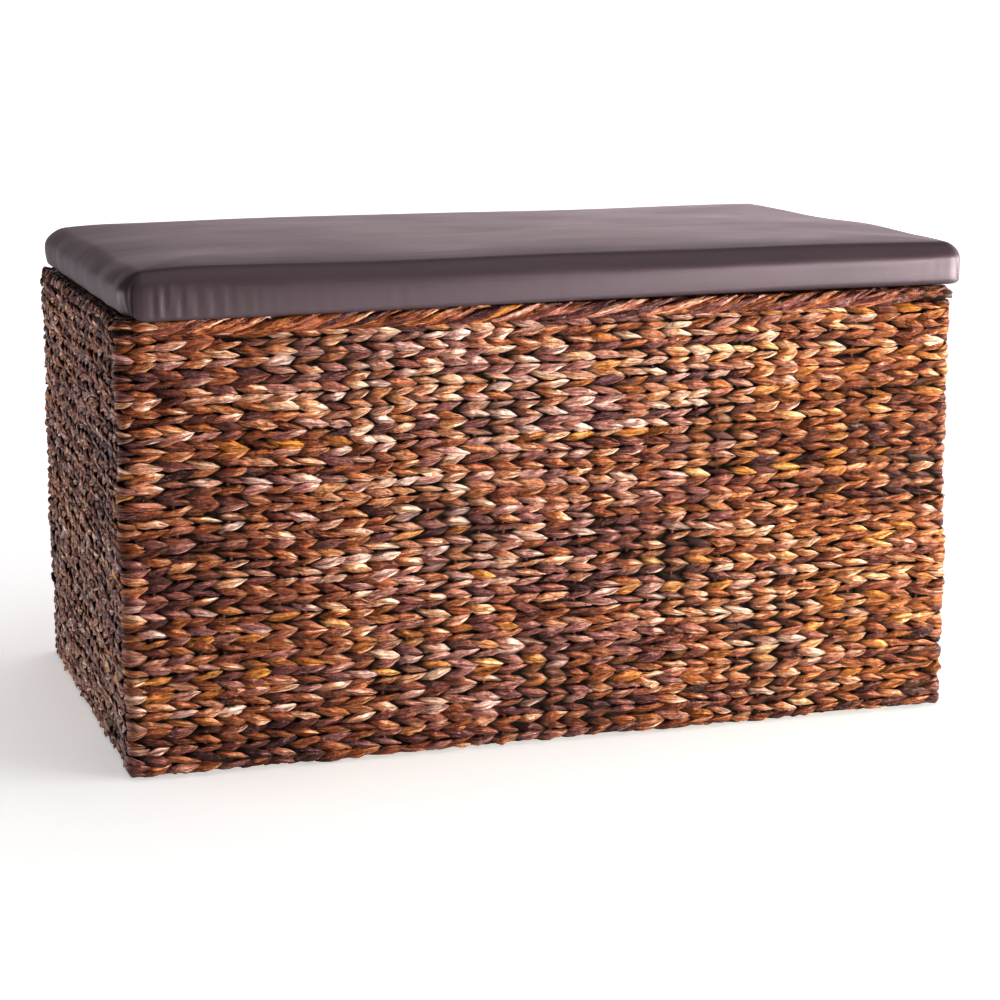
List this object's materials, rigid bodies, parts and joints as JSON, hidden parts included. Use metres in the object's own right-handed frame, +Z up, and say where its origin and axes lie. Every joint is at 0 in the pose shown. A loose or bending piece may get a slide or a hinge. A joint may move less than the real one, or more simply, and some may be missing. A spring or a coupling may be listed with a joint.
{
  "type": "wicker storage trunk",
  "caption": "Woven leaf storage trunk over a wooden frame, with a padded faux-leather lid that opens on back hinges and folding lid stays.",
  "frame": {"origin": "on the floor, under the middle of the trunk's overall box, lid closed", "axes": "+X to the right seen from the front, +Y to the hinged back, +Z up"},
  "size_m": [0.907, 0.5778, 0.514],
  "materials": {
    "woven_leaf": "satin",
    "frame_wood": "matte",
    "faux_leather": "satin",
    "foam": "matte",
    "dust_cloth": "matte",
    "steel": "satin",
    "black_plastic": "matte",
    "rubber": "matte"
  },
  "bodies": {
    "trunk": {"base_bearer": "frame_wood", "base_panel": "frame_wood", "bottom_rail_back": "frame_wood", "bottom_rail_front": "frame_wood", "bottom_rail_left": "frame_wood", "bottom_rail_right": "frame_wood", "corner_post_back_left": "frame_wood", "corner_post_back_right": "frame_wood", "corner_post_front_left": "frame_wood", "corner_post_front_right": "frame_wood", "glide_back_left": "black_plastic", "glide_back_right": "black_plastic", "glide_front_left": "black_plastic", "glide_front_right": "black_plastic", "hinge_pin_left": "steel", "hinge_pin_right": "steel", "hinge_trunk_leaf_left": "steel", "hinge_trunk_leaf_right": "steel", "hinge_trunk_screw_left_a": "steel", "hinge_trunk_screw_left_b": "steel", "hinge_trunk_screw_right_a": "steel", "hinge_trunk_screw_right_b": "steel", "rim_border": "woven_leaf", "stay_trunk_plate_left": "steel", "stay_trunk_plate_right": "steel", "stay_trunk_screw_left_a": "steel", "stay_trunk_screw_left_b": "steel", "stay_trunk_screw_right_a": "steel", "stay_trunk_screw_right_b": "steel", "top_rail_back": "frame_wood", "top_rail_front": "frame_wood", "top_rail_left": "frame_wood", "top_rail_right": "frame_wood", "woven_shell": "woven_leaf"},
    "lid": {"hinge_lid_leaf_left": "steel", "hinge_lid_leaf_right": "steel", "hinge_lid_screw_left_a": "steel", "hinge_lid_screw_left_b": "steel", "hinge_lid_screw_right_a": "steel", "hinge_lid_screw_right_b": "steel", "lid_board": "frame_wood", "lid_bumper_left": "rubber", "lid_bumper_right": "rubber", "lid_cover": "faux_leather", "lid_dust_cover": "dust_cloth", "lid_foam": "foam", "stay_lid_bracket_left": "steel", "stay_lid_bracket_right": "steel", "stay_lid_screw_left_a": "steel", "stay_lid_screw_left_b": "steel", "stay_lid_screw_right_a": "steel", "stay_lid_screw_right_b": "steel"},
    "stay_lower_left": {"stay_elbow_rivet_left": "steel", "stay_lower_arm_left": "steel"},
    "stay_upper_left": {"stay_upper_arm_left": "steel"},
    "stay_lower_right": {"stay_elbow_rivet_right": "steel", "stay_lower_arm_right": "steel"},
    "stay_upper_right": {"stay_upper_arm_right": "steel"}
  },
  "joints": [
    {"name": "lid_hinge", "type": "hinge", "parent": "trunk", "child": "lid", "pos_m": [-0.006, 0.28565, 0.45985], "axis": [-1, 0, 0], "range_deg": [0, 95]},
    {"name": "stay_trunk_pivot_left", "type": "hinge", "parent": "trunk", "child": "stay_lower_left", "pos_m": [-0.4154, 0.22365, 0.39785], "axis": [-1, 0, 0], "range_deg": [0, 95]},
    {"name": "stay_elbow_left", "type": "hinge", "parent": "stay_lower_left", "child": "stay_upper_left", "pos_m": [-0.4141, 0.05365, 0.38435], "axis": [-1, 0, 0], "range_deg": [-95, 0]},
    {"name": "stay_trunk_pivot_right", "type": "hinge", "parent": "trunk", "child": "stay_lower_right", "pos_m": [0.4034, 0.22365, 0.39785], "axis": [-1, 0, 0], "range_deg": [0, 95]},
    {"name": "stay_elbow_right", "type": "hinge", "parent": "stay_lower_right", "child": "stay_upper_right", "pos_m": [0.4021, 0.05365, 0.38435], "axis": [-1, 0, 0], "range_deg": [-95, 0]}
  ],
  "couplings": [
    {"joint": "stay_trunk_pivot_left", "follows": "lid_hinge", "ratio": 1},
    {"joint": "stay_elbow_left", "follows": "lid_hinge", "ratio": -1},
    {"joint": "stay_trunk_pivot_right", "follows": "lid_hinge", "ratio": 1},
    {"joint": "stay_elbow_right", "follows": "lid_hinge", "ratio": -1}
  ]
}
